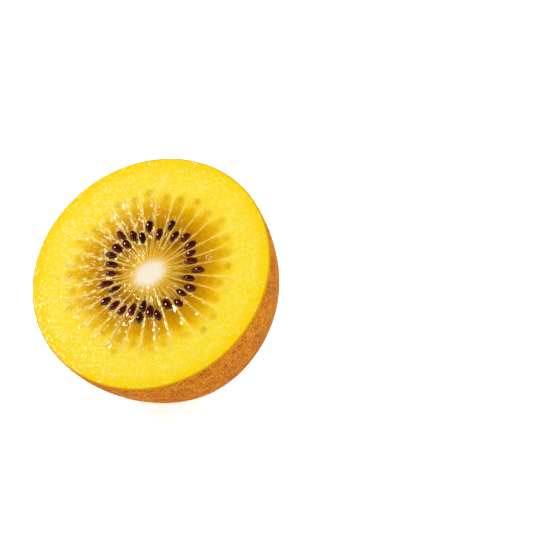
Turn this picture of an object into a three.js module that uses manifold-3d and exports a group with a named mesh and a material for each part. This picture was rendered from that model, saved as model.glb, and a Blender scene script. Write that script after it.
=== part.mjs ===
// Half of a golden kiwi fruit, cut across its middle and lying on its skin.
//
// Millimetres, +Z up. The origin is the centre of the small flat spot that the half rests on.
// The cut face looks up and towards -Y, and the stem end points down and towards +Y.
//
// The fruit is first made in a frame of its own: the cut lies in its XY plane, +Z points out
// of the cut face, and the stem end is at -Z. A turn is an angle in that plane, from +X.
import * as THREE from "three";
import { mergeVertices, toCreasedNormals } from "three/addons/utils/BufferGeometryUtils.js";
import Module from "manifold-3d";

// Body of the half
const CUT_RADIUS = 26.2; // mean radius of the cut face
const HALF_LENGTH = 35.2; // cut face to stem end
const OUTLINE_WAVES = [
  { lobes: 2, share: 0.0095, crest: -43 }, // slightly oval
  { lobes: 3, share: 0.003, crest: -48 }, // slightly three-sided
];
const LUMP = { share: 0.006, lobes: 5, crest: 20 }; // soft lumps half-way to the stem end

// Stem end: a shallow dimple with the woody scar of the stalk in it
const DIMPLE = { radius: 5, depth: 0.7 };
const SCAR = { radius: 2.3, height: 1.1, edge: 0.5 };

// Rest
const LEAN = 41; // degrees from straight up to the cut face's normal
const FLAT_DEPTH = 0.35; // what the resting spot takes off the curve of the skin

// Cut face
const CORE = { x: 0.5, y: -0.4, long: 4.2, short: 2.8, turn: 54, rise: 0.35 };
const RIM_ROUNDING = { width: 1.2, drop: 0.2 };
const LOCULES = 30; // pockets round the core, with a thin wall between each two
const LOCULE_START = 5.2; // distances from the middle of the core
const LOCULE_FULL = 7;
const LOCULE_REACH = 17.5;
const LOCULE_FADE = 3.5;
const LOCULE_DEPTH = 0.3; // how far the pockets sink below the cut
const WALL_HEIGHT = 0.15; // how far the walls stand above it

// Seeds
const SEED = { length: 2.6, width: 1.45, thickness: 1.15, taper: 0.3, lift: 0.02 };
const ROW_RADIUS = 9.5; // middle of the ring of seeds
const ROW_STEP = 0.5; // even seeds stand further out by this much, odd ones further in
const PAIR_STEP = 2.6; // between two seeds in one locule
const PAIR_TURN = 2;

// Scatter, from one seeded draw
const DRAW_START = 51113;
const START_TURN = 9;
const WALL_SCATTER = 0.35; // share of a locule
const REACH_SCATTER = 2.5;
const SEED_TURN_SCATTER = 2.4;
const SEED_RADIUS_SCATTER = 2.2;
const PAIR_CHANCE = 0.11;

// Fineness
const SEGMENTS_PER_LOCULE = 3;
const FACE_RINGS = [1.6, 3.1, 4.3, 5.6, 7.2, 9, 11, 13, 15, 17, 19, 21.5, 24, 25.4];
const SKIN_RINGS = 13;
const SCAR_RINGS = [0.9, SCAR.radius - SCAR.edge / 2, SCAR.radius + SCAR.edge / 2, 4];
const SEED_SIDES = 7;
const SEED_BANDS = 6;
const CREASE = 35; // sharper edges than this stay sharp when the faces are shaded

const MATERIALS = {
  skin: new THREE.MeshStandardMaterial({ color: "#c8803a", roughness: 0.75, metalness: 0 }),
  flesh: new THREE.MeshStandardMaterial({ color: "#fbdc48", roughness: 0.3, metalness: 0 }),
  core: new THREE.MeshStandardMaterial({ color: "#f6efd9", roughness: 0.45, metalness: 0 }),
  seed: new THREE.MeshStandardMaterial({ color: "#3b0a08", roughness: 0.25, metalness: 0 }),
};
const REGIONS = Object.keys(MATERIALS);

const radians = THREE.MathUtils.degToRad;
const wasm = await Module();
wasm.setup();

// A repeatable draw from 0 to 1.
function drawFrom(start) {
  let state = start;
  return () => {
    state = (state * 1664525 + 1013904223) % 4294967296;
    return state / 4294967296;
  };
}

// The plan of the cut face: where each locule's first wall is, how far it reaches, and its seeds.
function planLocules() {
  const draw = drawFrom(DRAW_START);
  const step = 360 / LOCULES;
  const locules = Array.from({ length: LOCULES }, (_, i) => ({
    wall: START_TURN + (i + WALL_SCATTER * (draw() - 0.5)) * step,
    reach: LOCULE_REACH + REACH_SCATTER * (draw() - 0.5),
    side: i % 2 ? -1 : 1,
    turnScatter: SEED_TURN_SCATTER * (draw() - 0.5),
    radiusScatter: SEED_RADIUS_SCATTER * (draw() - 0.5),
    pair: draw() < PAIR_CHANCE,
  }));
  locules.forEach((locule, i) => {
    const next = i + 1 < LOCULES ? locules[i + 1].wall : locules[0].wall + 360;
    locule.width = next - locule.wall;
    const turn = locule.wall + locule.width / 2 + locule.turnScatter;
    const radius = ROW_RADIUS + ROW_STEP * locule.side + locule.radiusScatter;
    locule.seeds = [{ turn, radius }];
    if (locule.pair) {
      const inwards = radius > ROW_RADIUS ? -1 : 1;
      locule.seeds.push({
        turn: turn + PAIR_TURN * locule.side,
        radius: radius + PAIR_STEP * inwards,
      });
    }
  });
  return locules;
}

const plan = planLocules();

// How far the outline of the cut stands out at a turn, as a factor.
function outline(turn) {
  return OUTLINE_WAVES.reduce(
    (sum, wave) => sum + wave.share * Math.cos(wave.lobes * radians(turn - wave.crest)),
    1,
  );
}

// Share of the core's oval at a point of the face, 1 on its edge.
function coreShare(radius, turn) {
  const along = radius * Math.cos(radians(turn - CORE.turn));
  const across = radius * Math.sin(radians(turn - CORE.turn));
  return Math.hypot(along / CORE.long, across / CORE.short);
}

// Height of the cut face above the cut. wallness is 1 on a wall and 0 in the middle of a locule.
function faceHeight(radius, turn, wallness, reach) {
  const smooth = THREE.MathUtils.smoothstep;
  const pocket =
    smooth(radius, LOCULE_START, LOCULE_FULL) * (1 - smooth(radius, reach - LOCULE_FADE, reach));
  const core = CORE.rise * (1 - smooth(coreShare(radius, turn), 0.7, 1.1));
  const rim = RIM_ROUNDING.drop * smooth(radius, CUT_RADIUS - RIM_ROUNDING.width, CUT_RADIUS);
  return core - rim + pocket * (WALL_HEIGHT * wallness - LOCULE_DEPTH * (1 - wallness));
}

// Side of the half as radius and height, from the stem end up to the cut.
function skinProfile() {
  const sideRings = Array.from({ length: SKIN_RINGS }, (_, i) => {
    const angle = ((i + 1) / SKIN_RINGS) * (Math.PI / 2);
    return CUT_RADIUS * Math.sin(angle);
  }).filter((radius) => radius > DIMPLE.radius);
  return [0, ...SCAR_RINGS, ...sideRings].map((radius) => {
    const ellipse = -HALF_LENGTH * Math.sqrt(1 - (radius / CUT_RADIUS) ** 2);
    const dimple = DIMPLE.depth * Math.exp(-((radius / DIMPLE.radius) ** 2));
    const scar = radius < SCAR.radius ? SCAR.height : 0;
    return new THREE.Vector2(radius, ellipse + dimple - scar);
  });
}

// A closed lathe of stem end, side, rim and cut face, with the plan's relief and waves on it.
function halfFruitGeometry() {
  const side = skinProfile();
  const face = FACE_RINGS.toReversed().map((radius) => new THREE.Vector2(radius, 0));
  const profile = [...side, ...face, new THREE.Vector2(0, 0)];
  const segments = LOCULES * SEGMENTS_PER_LOCULE;
  const geometry = new THREE.LatheGeometry(profile, segments);
  const position = geometry.getAttribute("position");
  for (let i = 0; i < position.count; i++) {
    const column = Math.floor(i / profile.length) % segments;
    const { x: radius, y: height } = profile[i % profile.length];
    const locule = plan[Math.floor(column / SEGMENTS_PER_LOCULE)];
    const across = (column % SEGMENTS_PER_LOCULE) / SEGMENTS_PER_LOCULE;
    const turn = locule.wall + across * locule.width;
    const wallness = (0.5 + 0.5 * Math.cos(2 * Math.PI * across)) ** 2;
    const onFace = i % profile.length >= side.length - 1;
    const depth = -height / HALF_LENGTH;
    const wave = Math.cos(LUMP.lobes * radians(turn - LUMP.crest)) * Math.sin(Math.PI * depth);
    const out = radius * (1 + (outline(turn) - 1) * (1 - depth) + LUMP.share * wave);
    const shift = onFace ? 1 - radius / CUT_RADIUS : 0;
    const rise = onFace ? faceHeight(radius, turn, wallness, locule.reach) : 0;
    position.setXYZ(
      i,
      out * Math.cos(radians(turn)) + CORE.x * shift,
      out * Math.sin(radians(turn)) + CORE.y * shift,
      height + rise,
    );
  }
  return geometry;
}

// One seed lying in the cut face, its narrow end towards the core.
function seedGeometry({ turn, radius }) {
  const geometry = new THREE.SphereGeometry(0.5, SEED_SIDES, SEED_BANDS);
  geometry.rotateZ(-Math.PI / 2);
  const position = geometry.getAttribute("position");
  for (let i = 0; i < position.count; i++) {
    const along = position.getX(i);
    const waist = 1 + SEED.taper * 2 * along;
    position.setXYZ(
      i,
      along * SEED.length,
      position.getY(i) * SEED.width * waist,
      position.getZ(i) * SEED.thickness * waist,
    );
  }
  const shift = 1 - radius / CUT_RADIUS;
  geometry.rotateZ(radians(turn));
  geometry.translate(
    radius * Math.cos(radians(turn)) + CORE.x * shift,
    radius * Math.sin(radians(turn)) + CORE.y * shift,
    SEED.lift,
  );
  return geometry;
}

// A closed geometry as a solid. regionOf(centre) names the region of each triangle, and every
// region gets an ID of its own, so that its triangles are still known after a join or a cut.
const regionOfId = new Map();
function solidOf(geometry, regionOf) {
  const bare = geometry.clone();
  bare.deleteAttribute("normal");
  bare.deleteAttribute("uv");
  const merged = mergeVertices(bare, 1e-4);
  const position = merged.getAttribute("position");
  const triangles = new Map(REGIONS.map((region) => [region, []]));
  const corner = new THREE.Vector3();
  const centre = new THREE.Vector3();
  for (let i = 0; i < merged.index.count; i += 3) {
    const [a, b, c] = merged.index.array.slice(i, i + 3);
    if (a === b || b === c || c === a) continue;
    centre.set(0, 0, 0);
    for (const vertex of [a, b, c]) centre.add(corner.fromBufferAttribute(position, vertex));
    triangles.get(regionOf(centre.divideScalar(3))).push(a, b, c);
  }
  const used = REGIONS.filter((region) => triangles.get(region).length);
  const firstId = wasm.Manifold.reserveIDs(used.length);
  used.forEach((region, i) => regionOfId.set(firstId + i, region));
  const triVerts = used.flatMap((region) => triangles.get(region));
  const runIndex = [0];
  for (const region of used) runIndex.push(runIndex.at(-1) + triangles.get(region).length);
  return new wasm.Manifold(
    new wasm.Mesh({
      numProp: 3,
      vertProperties: position.array,
      triVerts: new Uint32Array(triVerts),
      runIndex: new Uint32Array(runIndex),
      runOriginalID: new Uint32Array(used.map((_, i) => firstId + i)),
    }),
  );
}

// A solid as a geometry, with a group of triangles for each region.
function geometryOf(solid) {
  const mesh = solid.getMesh();
  const geometry = new THREE.BufferGeometry();
  geometry.setAttribute("position", new THREE.BufferAttribute(mesh.vertProperties, 3));
  geometry.setIndex(new THREE.BufferAttribute(mesh.triVerts, 1));
  mesh.runOriginalID.forEach((id, run) => {
    const start = mesh.runIndex[run];
    const region = REGIONS.indexOf(regionOfId.get(id));
    geometry.addGroup(start, mesh.runIndex[run + 1] - start, region);
  });
  return geometry;
}

// Region of a triangle of the half fruit: the core's oval, the flesh round it, or the skin.
function regionOfFruit(centre) {
  const radius = Math.hypot(centre.x - CORE.x, centre.y - CORE.y);
  const turn = THREE.MathUtils.radToDeg(Math.atan2(centre.y - CORE.y, centre.x - CORE.x));
  if (centre.z < -LOCULE_DEPTH - 0.01) return "skin";
  return coreShare(radius, turn) < 1 ? "core" : "flesh";
}

// Corners of a geometry as they lie once the half leans.
function leaningCorners(geometry) {
  const position = geometry.getAttribute("position");
  const lean = new THREE.Matrix4().makeRotationX(radians(LEAN));
  return Array.from({ length: position.count }, (_, i) =>
    new THREE.Vector3().fromBufferAttribute(position, i).applyMatrix4(lean),
  );
}

// The half fruit with its seeds, cut flat where it rests and placed with that spot at the origin.
function kiwiHalf() {
  let solid = solidOf(halfFruitGeometry(), regionOfFruit);
  for (const seed of plan.flatMap((locule) => locule.seeds))
    solid = solid.add(solidOf(seedGeometry(seed), () => "seed"));

  const lowest = Math.min(...leaningCorners(geometryOf(solid)).map((corner) => corner.z));
  const floor = lowest + FLAT_DEPTH;
  const size = 4 * CUT_RADIUS;
  const ground = new THREE.BoxGeometry(size, size, size)
    .translate(0, 0, floor - size / 2)
    .rotateX(-radians(LEAN));
  solid = solid.subtract(solidOf(ground, () => "skin"));

  const geometry = geometryOf(solid);
  const spotCorners = leaningCorners(geometry).filter((corner) => corner.z < floor + 1e-3);
  const spot = new THREE.Box3().setFromPoints(spotCorners).getCenter(new THREE.Vector3());
  const materials = REGIONS.map((region) => MATERIALS[region]);
  const half = new THREE.Mesh(toCreasedNormals(geometry, radians(CREASE)), materials);
  half.name = "kiwi_half";
  half.rotation.x = radians(LEAN);
  half.position.set(-spot.x, -spot.y, -floor);
  return half;
}

const fruit = new THREE.Group();
fruit.add(kiwiHalf());

export default fruit;
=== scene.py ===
# %% [markdown]
# # Half of a golden kiwi fruit
#
# A ripe golden kiwi was cut across its middle, and this half lies on its skin with the wet cut
# face looking up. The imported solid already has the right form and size. This lesson dresses it:
# the flesh with its pale walls and amber pockets, the thin suede-like skin, the seeds, the fine
# fuzz and the gel that the knife dragged up.

# %% Load the frame
import math

import bpy
import numpy as np
from mathutils import Matrix, Vector, noise


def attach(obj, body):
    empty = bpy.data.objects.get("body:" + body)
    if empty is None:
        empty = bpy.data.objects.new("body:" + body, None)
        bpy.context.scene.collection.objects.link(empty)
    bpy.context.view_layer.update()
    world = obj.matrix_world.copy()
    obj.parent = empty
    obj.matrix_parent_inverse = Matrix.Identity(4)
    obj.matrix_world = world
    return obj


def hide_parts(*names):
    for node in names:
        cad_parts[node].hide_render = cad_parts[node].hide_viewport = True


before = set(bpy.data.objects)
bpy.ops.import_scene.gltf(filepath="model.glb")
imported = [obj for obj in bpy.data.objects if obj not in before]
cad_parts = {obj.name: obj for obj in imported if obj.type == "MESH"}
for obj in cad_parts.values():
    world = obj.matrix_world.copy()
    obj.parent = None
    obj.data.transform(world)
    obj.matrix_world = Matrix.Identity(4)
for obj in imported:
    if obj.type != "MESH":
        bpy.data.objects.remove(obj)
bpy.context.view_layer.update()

# %% [markdown]
# ## The fruit's own frame
#
# Every piece grows round the fruit's axis, so all of them are easiest to make upright: the cut
# in the XY plane, the stem end below it, and turns counted from +X. One matrix then leans the
# piece and sets it where the solid lies. Measuring the solid for that matrix is safer than
# copying numbers, because the two can't drift apart. The end of the stalk's scar lies on the
# axis at a known depth, so it fixes the place.

# %% Find where the solid lies
MM = 0.001
LEAN = math.radians(41)  # from straight up to the cut face's normal
STALK_END = 35.6  # mm from the cut to the middle of the stalk's scar

lean = Matrix.Rotation(LEAN, 4, "X")
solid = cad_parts["kiwi_half"]
corners = np.array([vertex.co for vertex in solid.data.vertices]) / MM
upright = corners @ np.array(lean.to_3x3())
scar_end = upright[upright[:, 2] < upright[:, 2].min() + 0.05].mean(axis=0)
cut_centre = lean @ Vector((scar_end[0], scar_end[1], scar_end[2] + STALK_END))
to_row = Matrix.Translation(cut_centre * MM) @ lean @ Matrix.Scale(MM, 4)
print("centre of the cut in mm:", [round(x, 2) for x in cut_centre])

# %% [markdown]
# ## The plan of the cut face
#
# Inside the fruit, thin walls run out from the core like spokes and part it into pockets called
# locules, each with a seed or two. The solid places them by a rule with a seeded draw. The same
# rule is repeated here, so that the fine walls and seeds fall where the solid has them.

# %% Driving sizes, in mm, as in the solid
CUT_RADIUS = 26.2
HALF_LENGTH = 35.2
OUTLINE_WAVES = ((2, 0.0095, -43), (3, 0.003, -48))  # lobes, share, turn of a crest
LUMP_SHARE, LUMP_LOBES, LUMP_CREST = 0.006, 5, 20
CORE_X, CORE_Y = 0.5, -0.4  # the core's middle, a little off the axis
CORE_RISE = 0.35
LOCULES = 30
LOCULE_REACH = 17.5
SEED_LENGTH, SEED_WIDTH, SEED_THICKNESS = 2.6, 1.45, 1.15
ROW_RADIUS, ROW_STEP = 9.5, 0.5  # the ring of seeds, and how far it zigzags
PAIR_STEP, PAIR_TURN, PAIR_CHANCE = 2.6, 2, 0.11  # a pocket's second seed
print("the cut is", 2 * CUT_RADIUS, "mm across, and the half is", HALF_LENGTH, "mm long")


# %% Repeat the solid's draw
def solid_draw(state=51113):
    """The solid's own repeatable numbers from 0 to 1."""
    while True:
        state = (state * 1664525 + 1013904223) % 4294967296
        yield state / 4294967296


draw = solid_draw()
START_TURN, WALL_SCATTER, REACH_SCATTER = 9, 0.35, 2.5  # degrees, share of a step and mm
SEED_TURN_SCATTER, SEED_RADIUS_SCATTER = 2.4, 2.2  # degrees and mm
locules = []
for i in range(LOCULES):
    wall = START_TURN + (i + WALL_SCATTER * (next(draw) - 0.5)) * 360 / LOCULES
    reach = LOCULE_REACH + REACH_SCATTER * (next(draw) - 0.5)
    turn_scatter = SEED_TURN_SCATTER * (next(draw) - 0.5)
    radius_scatter = SEED_RADIUS_SCATTER * (next(draw) - 0.5)
    locules.append((wall, reach, turn_scatter, radius_scatter, next(draw) < PAIR_CHANCE))

wall_turns = np.array([locule[0] for locule in locules])
reaches = np.array([locule[1] for locule in locules])
middle_turns = (wall_turns + np.append(wall_turns[1:], wall_turns[0] + 360)) / 2
seed_places = []
for i, (wall, reach, turn_scatter, radius_scatter, pair) in enumerate(locules):
    side = -1 if i % 2 else 1
    turn = middle_turns[i] + turn_scatter
    radius = ROW_RADIUS + ROW_STEP * side + radius_scatter
    seed_places.append((turn, radius))
    if pair:
        inwards = -1 if radius > ROW_RADIUS else 1
        seed_places.append((turn + PAIR_TURN * side, radius + PAIR_STEP * inwards))
print(len(seed_places), "seeds in", LOCULES, "locules")


# %% [markdown]
# ## Helpers for shapes
#
# The flesh and the skin are both closed bodies of revolution with waves and bumps on them. One
# function turns a stack of rings into such a body: it is plain mesh code, and so it gives full
# control of how fine the mesh is in each place. Organic unevenness comes from Blender's own
# Perlin noise, sampled at real positions in millimetres.

# %% Soft steps, noise and ovals
def smooth(value, low, high):
    """0 below low, 1 above high, and a soft step between them."""
    share = np.clip((value - low) / (high - low), 0, 1)
    return share * share * (3 - 2 * share)


def bell(distance, width):
    """1 at no distance, fading to nothing past the width."""
    return np.exp(-((distance / width) ** 2))


def ripple(points, size, shift=0.0):
    """Perlin noise from -1 to 1 at each of the points, with waves of about that size."""
    flat = np.asarray(points, float).reshape(-1, 3) / size + shift
    values = [noise.noise(point) for point in flat.tolist()]
    return np.array(values).reshape(np.shape(points)[:-1])


def gap_to(turns, centres):
    """Degrees from each turn to its nearest centre, with a sign, and which centre that is."""
    gaps = (turns[:, None] - centres[None, :] + 180) % 360 - 180
    nearest = np.abs(gaps).argmin(axis=1)
    return gaps[np.arange(len(turns)), nearest], nearest


def outline(turns):
    """How far the cut's outline stands out at each turn, as a factor."""
    return 1 + sum(
        share * np.cos(lobes * np.radians(turns - crest)) for lobes, share, crest in OUTLINE_WAVES
    )


def oval_share(x, y, turn, long, wide):
    """0 in the middle of an oval that lies along a turn, and 1 on its outline."""
    turn = math.radians(turn)
    along = x * math.cos(turn) + y * math.sin(turn)
    across = y * math.cos(turn) - x * math.sin(turn)
    return np.hypot(along / long, across / wide)


def on_face(radius, turn):
    """Where a radius and a turn lie on the face, whose rings shift towards the core's middle."""
    shift = 1 - radius / CUT_RADIUS
    x = radius * math.cos(math.radians(turn)) + CORE_X * shift
    y = radius * math.sin(math.radians(turn)) + CORE_Y * shift
    return x, y


furthest = CUT_RADIUS * outline(np.arange(360)).max()
print("the cut reaches", round(furthest, 2), "mm from its middle")


# %% Meshes from rings
def make_piece(name, points, faces, marks=None):
    """A smooth mesh object from points in the fruit's own frame, with marks for its material."""
    mesh = bpy.data.meshes.new(name)
    mesh.from_pydata(points, [], faces)
    mesh.transform(to_row)
    mesh.shade_smooth()
    for mark, values in (marks or {}).items():
        kind, field = ("FLOAT_VECTOR", "vector") if values.ndim == 2 else ("FLOAT", "value")
        mesh.attributes.new(mark, kind, "POINT").data.foreach_set(field, values.ravel())
    piece = bpy.data.objects.new(name, mesh)
    bpy.context.scene.collection.objects.link(piece)
    print("piece", name, "has", sum(len(face) - 2 for face in faces), "triangles")
    return piece


def ring_faces(rings, turns, start=0):
    """Faces of a closed body of rings, then its first and last pole, facing outwards."""
    first, last = start + rings * turns, start + rings * turns + 1
    here = np.arange(turns)
    beside = np.roll(here, -1)
    faces = [(first, start + a, start + b) for a, b in zip(here.tolist(), beside.tolist())]
    for ring in range(rings - 1):
        row = start + ring * turns
        below = row + turns
        quads = np.stack([row + here, below + here, below + beside, row + beside], axis=1)
        faces += quads.tolist()
    row = start + (rings - 1) * turns
    faces += [(last, row + b, row + a) for a, b in zip(here.tolist(), beside.tolist())]
    return faces


print("a body of 3 rings of 8 points has", len(ring_faces(3, 8)), "faces")

# %% [markdown]
# ## What the cut face shows
#
# Seen close up, the face has few kinds of things on it, and each can be written as a mark from
# 0 to 1 over radius and turn: the white core with its frayed edge, fine fibres round it, the
# walls, the amber pockets with their soft finger ends, faint dots near those ends, and the deep
# yellow under the skin. Both the relief and the colours read the same marks, so that a wall that
# looks pale also stands up. Painting them by hand would be slower and couldn't be repeated.

# %% Things along the turns
rng = np.random.default_rng(26)
FIBRES = 64
fibre_turns = (np.arange(FIBRES) + rng.uniform(-0.4, 0.4, FIBRES)) * 360 / FIBRES
fibre_ends = rng.uniform(6.2, 10.5, FIBRES)
fibre_strengths = rng.uniform(0.35, 1.0, FIBRES)
fibre_sways = rng.uniform(-2.5, 2.5, FIBRES)
wall_sways = rng.uniform(-1.6, 1.6, LOCULES)
wall_strengths = rng.uniform(0.5, 1.0, LOCULES)
wall_ends = reaches + rng.uniform(0.5, 4.5, LOCULES)
dot_radii = reaches + rng.uniform(-1.5, 0.7, LOCULES)
dot_turns = middle_turns + rng.uniform(-1.5, 1.5, LOCULES)
dot_strengths = rng.uniform(0.4, 1.0, LOCULES)
DOT_SIZE = 0.9
STAIN_PAST = 0.2  # how far the amber colour soaks past the end of a sunken pocket
shade_trail_strengths = rng.uniform(0.0, 1.0, len(seed_places)) ** 2
# The wet side faces the key lamp, and the colour paints more glints there.
WET_TURN = 185  # the side where the knife came out and left most juice
print(FIBRES, "fibres and", LOCULES, "walls lie along the turns")

# %% White oval of the core
WHITE_LONG, WHITE_SHORT, WHITE_TURN = 4.0, 3.1, 41  # the oval that is white in the core
WHITE_X, WHITE_Y = 0.02, -0.45  # its middle, from the core's


def core_share(radius, turns):
    """Share of the white oval at points of the face, 1 on its edge."""
    x = radius * np.cos(np.radians(turns)) - WHITE_X
    y = radius * np.sin(np.radians(turns)) - WHITE_Y
    return oval_share(x, y, WHITE_TURN, WHITE_LONG, WHITE_SHORT)


print("the white oval is", 2 * WHITE_LONG, "by", 2 * WHITE_SHORT, "mm")


# %% Marks along one ring of the face
def ring_marks(radius, turns, spots):
    """The marks along one ring. spots are its points in mm, where the noise is sampled."""
    per_degree = math.radians(1) * radius
    spokes = np.stack(
        [np.cos(np.radians(turns)), np.sin(np.radians(turns)), np.zeros_like(turns)], axis=1
    )
    fray = ripple(spokes, 0.05, radius / 40)
    strand = ripple(spokes, 0.03, radius / 5)
    cloud = ripple(spots, 2.2, 7)

    swayed = wall_turns + wall_sways * (radius - 8) / 10
    gaps, nearest = gap_to(turns, swayed)
    off_wall = gaps * per_degree
    wall = bell(off_wall, 0.14 + 0.002 * radius) * wall_strengths[nearest]
    wall = wall * smooth(radius, 4, 6.5) * (1 - smooth(radius, wall_ends - 5, wall_ends)[nearest])
    wall = wall * (1 - 0.55 * smooth(ripple(spots, 1.6, 12), 0.0, 0.45) * smooth(radius, 8, 11))

    middles = (swayed + np.append(swayed[1:], swayed[0] + 360)) / 2
    gaps, pocket = gap_to(turns, middles)
    off_middle = np.abs(gaps) * per_degree + 0.28 * cloud
    half_width = min(6.1 * per_degree, 1.5 - 0.016 * max(radius - 12, 0) ** 2)
    hollow = 1 - smooth(off_middle, half_width - 0.6, half_width + 0.35)
    end = reaches[pocket] + STAIN_PAST + 0.8 * cloud
    locule = hollow * smooth(radius, 3.2, 5.5) * (1 - smooth(radius, end - 4.4, end - 0.2))
    stain_end = end + 1.2 * strand - 2.4 * np.clip(np.abs(gaps) / 6, 0, 1.2) ** 2
    amber = 1 - smooth(radius, stain_end - 3.0, stain_end + 0.9)

    gaps, nearest = gap_to(turns, dot_turns)
    off_dot = np.hypot(gaps * per_degree, radius - dot_radii[nearest])
    dot = dot_strengths[nearest] * (1 - smooth(off_dot + 0.25 * cloud, 0.0, DOT_SIZE * 1.5))

    gaps, nearest = gap_to(turns, fibre_turns + fibre_sways * (radius - 3) / 6)
    fibre = bell(gaps * per_degree, 0.06 + 0.005 * radius) * fibre_strengths[nearest]
    fibre = fibre * smooth(radius, 1.6, 3.2)
    fibre = fibre * (1 - smooth(radius, fibre_ends - 2.5, fibre_ends)[nearest])

    core = 1 - smooth(core_share(radius, turns) + 0.2 * fray, 0.5, 1.5)
    rim = smooth(radius + 0.4 * cloud, CUT_RADIUS - 4.2, CUT_RADIUS - 0.3)
    return {
        "wall": wall,
        "hollow": hollow,
        "near_wall": bell(off_wall, 0.9),
        "locule": locule,
        "amber": amber,
        "dot": dot,
        "strand": 0.5 + 0.5 * strand,
        "fibre": fibre,
        "core": core,
        "rim": rim,
    }


sample = ring_marks(10.0, np.arange(3.0), np.zeros((3, 3)))
print("each ring carries", len(sample), "marks")

# %% [markdown]
# ## The flesh
#
# Flesh and core are one closed body under the skin. Its cut face needs relief that the light can
# catch: pockets that sank a little, walls that stand up, lumps of soft wet gel, and a grain of
# cut cells further out. A displacement texture could do that, but then the seeds wouldn't know
# how high the face is. So the height is worked out ring by ring, and each seed presses a socket
# with a small raised lip into it.

# %% Seeds as they lie in the face
SEED_LIFT = 0.05
seeds = []
for turn, radius in seed_places:
    x, y = on_face(radius, turn)
    seeds.append({
        "x": x,
        "y": y,
        "turn": turn + rng.uniform(-9, 9),
        "size": rng.uniform(0.9, 1.08),
        "plump": rng.uniform(0.88, 1.06),
        "tilt": rng.uniform(-9, 9),
        "lift": SEED_LIFT + rng.uniform(-0.16, 0.1),
        "tone": rng.uniform(0, 1),
    })
sizes = [seed["size"] for seed in seeds]
print("the seeds are", round(min(sizes), 2), "to", round(max(sizes), 2), "of their usual size")


def seed_distance(spots, seed):
    """How far points are from a seed's middle, 1 on its outline."""
    x, y = spots[..., 0] - seed["x"], spots[..., 1] - seed["y"]
    long, wide = seed["size"] * SEED_LENGTH / 2, seed["size"] * seed["plump"] * SEED_WIDTH / 2
    return oval_share(x, y, seed["turn"], long, wide)


# %% Grid of the cut face
FACE_TURNS = 720
SKIN_THICKNESS = 0.34
OVERLAP = 0.04  # how far the flesh reaches into the skin
FLESH_RADIUS = CUT_RADIUS - SKIN_THICKNESS + OVERLAP
face_radii = np.concatenate([
    np.linspace(0.25, 12, 62, endpoint=False),
    np.linspace(12, FLESH_RADIUS - 0.5, 62, endpoint=False),
    np.linspace(FLESH_RADIUS - 0.5, FLESH_RADIUS, 6),
])
face_turns = np.arange(FACE_TURNS) * 360 / FACE_TURNS
cosines, sines = np.cos(np.radians(face_turns)), np.sin(np.radians(face_turns))

face = np.zeros((len(face_radii), FACE_TURNS, 3))
for row, radius in zip(face, face_radii):
    out = radius * outline(face_turns)
    shift = 1 - radius / CUT_RADIUS
    row[:, 0] = out * cosines + CORE_X * shift
    row[:, 1] = out * sines + CORE_Y * shift
rows = [ring_marks(radius, face_turns, row) for row, radius in zip(face, face_radii)]
marks = {name: np.stack([row[name] for row in rows]) for name in rows[0]}
print("the face has", face.shape[0] * face.shape[1], "points")

# %% Painted shade round and behind the seeds, and the sockets they press
SHADE_TRAIL_SHIFT = 1.5  # how far the painted shade behind a seed lies towards the core
shade = np.zeros(face.shape[:2])
halo = np.zeros(face.shape[:2])
socket = np.zeros(face.shape[:2])
for seed, trail_strength in zip(seeds, shade_trail_strengths):
    near = seed_distance(face, seed)
    socket = np.maximum(socket, 1 - smooth(near, 0.75, 1.05))
    halo = np.maximum(halo, bell(near - 1.2, 0.13))
    trail = {**seed, "size": seed["size"] * 0.85}
    trail["x"] -= SHADE_TRAIL_SHIFT * math.cos(math.radians(seed["turn"]))
    trail["y"] -= SHADE_TRAIL_SHIFT * math.sin(math.radians(seed["turn"]))
    shade_trail = trail_strength * (1 - smooth(seed_distance(face, trail), 0.2, 1.2))
    # Painted shade: a dark ring along each seed's outline, and a dark trail behind some seeds.
    shade = np.maximum(shade, np.maximum(0.45 * bell(near - 0.92, 0.2), shade_trail))
marks["shade"] = shade
# The lips are raised in the relief, and their pale colour is partly a painted highlight.
marks["halo"] = 0.6 * halo * (1 - marks["core"]) * smooth(ripple(face, 0.9, 4), -0.1, 0.4)
print("seeds press on", int((socket > 0).sum()), "points of the face")

# %% Relief of the cut face
LOCULE_DEPTH, WALL_HEIGHT, RIM_DROP, RIM_WIDTH = 0.24, 0.07, 0.08, 0.5
GEL_STRETCH = (22, 22, 0.8)  # lumps per radian of turn, twice, and per mm outwards
TORN_STRETCH = (38, 38, 0.8)
# Cells are about 0.5 mm wide here. Real ones are about 0.2 mm, too fine to show.
CELL_STRETCH = (34, 34, 2.0)

radii = face_radii[:, None] + np.zeros(FACE_TURNS)
share = np.stack([core_share(radius, face_turns) for radius in face_radii])
pocket = smooth(radii, 5.2, 7) * (1 - smooth(radii, LOCULE_REACH - 3.5, LOCULE_REACH))
relief = 0.6 * CORE_RISE * (1 - smooth(share, 0.5, 1.5))
relief -= RIM_DROP * smooth(radii, CUT_RADIUS - RIM_WIDTH, CUT_RADIUS)
relief -= 0.5 * LOCULE_DEPTH * pocket * marks["hollow"] - WALL_HEIGHT * pocket * marks["wall"]
relief += 0.045 * marks["fibre"] * (1 - marks["core"]) + 0.02 * marks["wall"]

polar = np.stack([radii * 0 + cosines, radii * 0 + sines, radii], axis=-1)
wet = 0.5 + 0.5 * np.cos(np.radians(face_turns - WET_TURN)) + 0.35 * ripple(face, 6, 2)
wet = np.clip(wet, 0, 1)


def domes(points):
    """Height from 0 to 1 of round cells packed side by side, like cut pearls of pulp."""
    nearest = [noise.voronoi(point)[0][0] for point in points.reshape(-1, 3).tolist()]
    return 1 - smooth(np.array(nearest).reshape(points.shape[:-1]), 0.0, 0.62)


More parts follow.
